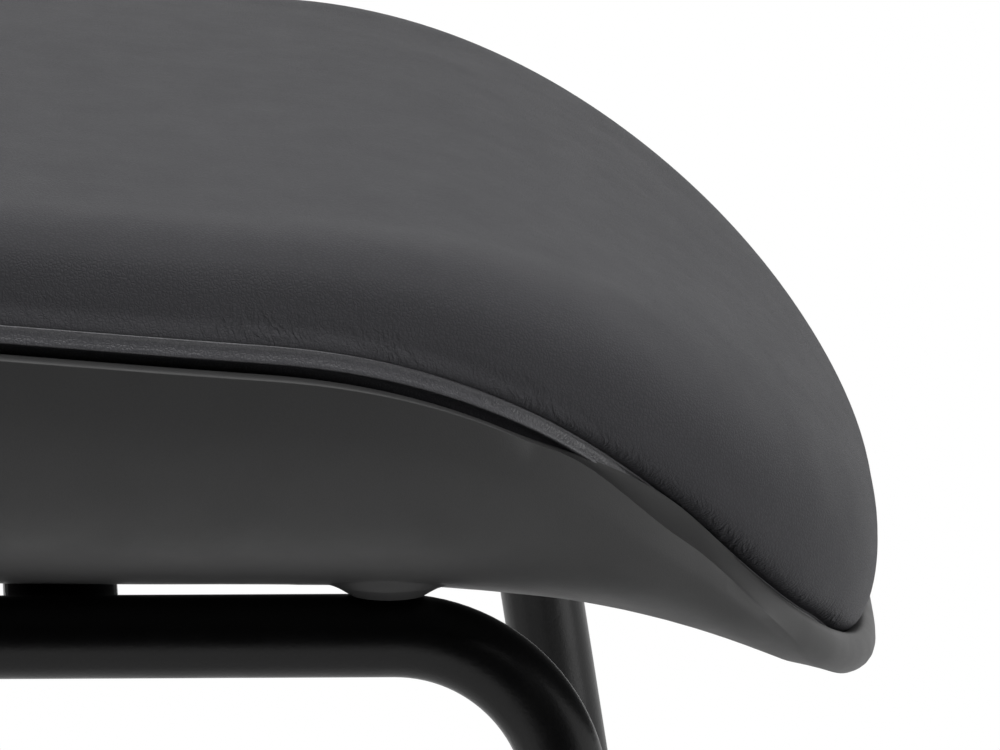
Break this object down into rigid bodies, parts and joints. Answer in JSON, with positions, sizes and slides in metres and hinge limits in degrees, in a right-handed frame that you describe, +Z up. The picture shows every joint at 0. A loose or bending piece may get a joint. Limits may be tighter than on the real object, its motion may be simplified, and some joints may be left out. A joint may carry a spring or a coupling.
{
  "type": "bar stool",
  "caption": "Backless bar stool: leather pad in a moulded waterfall shell with a rolled lip, on bent tube side frames with a footrest ring.",
  "frame": {"origin": "on the floor, under the middle of the seat and of the four feet", "axes": "+Z up, -Y towards the drooping front of the seat, +X across the seat"},
  "size_m": [0.4018, 0.4694, 0.7909],
  "materials": {
    "shell_plastic": "fine matte moulded plastic, dark grey",
    "pan_plastic": "plain moulded plastic",
    "foam": "open-cell upholstery foam, inside the cover",
    "black_leather": "fine-grained black leather, satin",
    "frame_paint": "black powder coat on steel",
    "dark_steel": "blackened steel",
    "glide_nylon": "black nylon",
    "glide_rubber": "black rubber"
  },
  "bodies": {
    "root": {"seat_shell": "shell_plastic", "inner_pan": "pan_plastic", "seat_foam": "foam", "seat_cover": "black_leather", "cover_border": "black_leather", "side_frame_left": "frame_paint", "side_frame_right": "frame_paint", "cross_bar": "frame_paint", "footrest_front": "frame_paint", "footrest_rear": "frame_paint", "footrest_left": "frame_paint", "footrest_right": "frame_paint", "rivet_nut_front_left": "dark_steel", "frame_screw_front_left": "dark_steel", "screw_washer_front_left": "dark_steel", "glide_plug_front_left": "glide_nylon", "glide_pad_front_left": "glide_rubber", "rivet_nut_front_right": "dark_steel", "frame_screw_front_right": "dark_steel", "screw_washer_front_right": "dark_steel", "glide_plug_front_right": "glide_nylon", "glide_pad_front_right": "glide_rubber", "rivet_nut_rear_left": "dark_steel", "frame_screw_rear_left": "dark_steel", "screw_washer_rear_left": "dark_steel", "glide_plug_rear_left": "glide_nylon", "glide_pad_rear_left": "glide_rubber", "rivet_nut_rear_right": "dark_steel", "frame_screw_rear_right": "dark_steel", "screw_washer_rear_right": "dark_steel", "glide_plug_rear_right": "glide_nylon", "glide_pad_rear_right": "glide_rubber"}
  },
  "joints": []
}
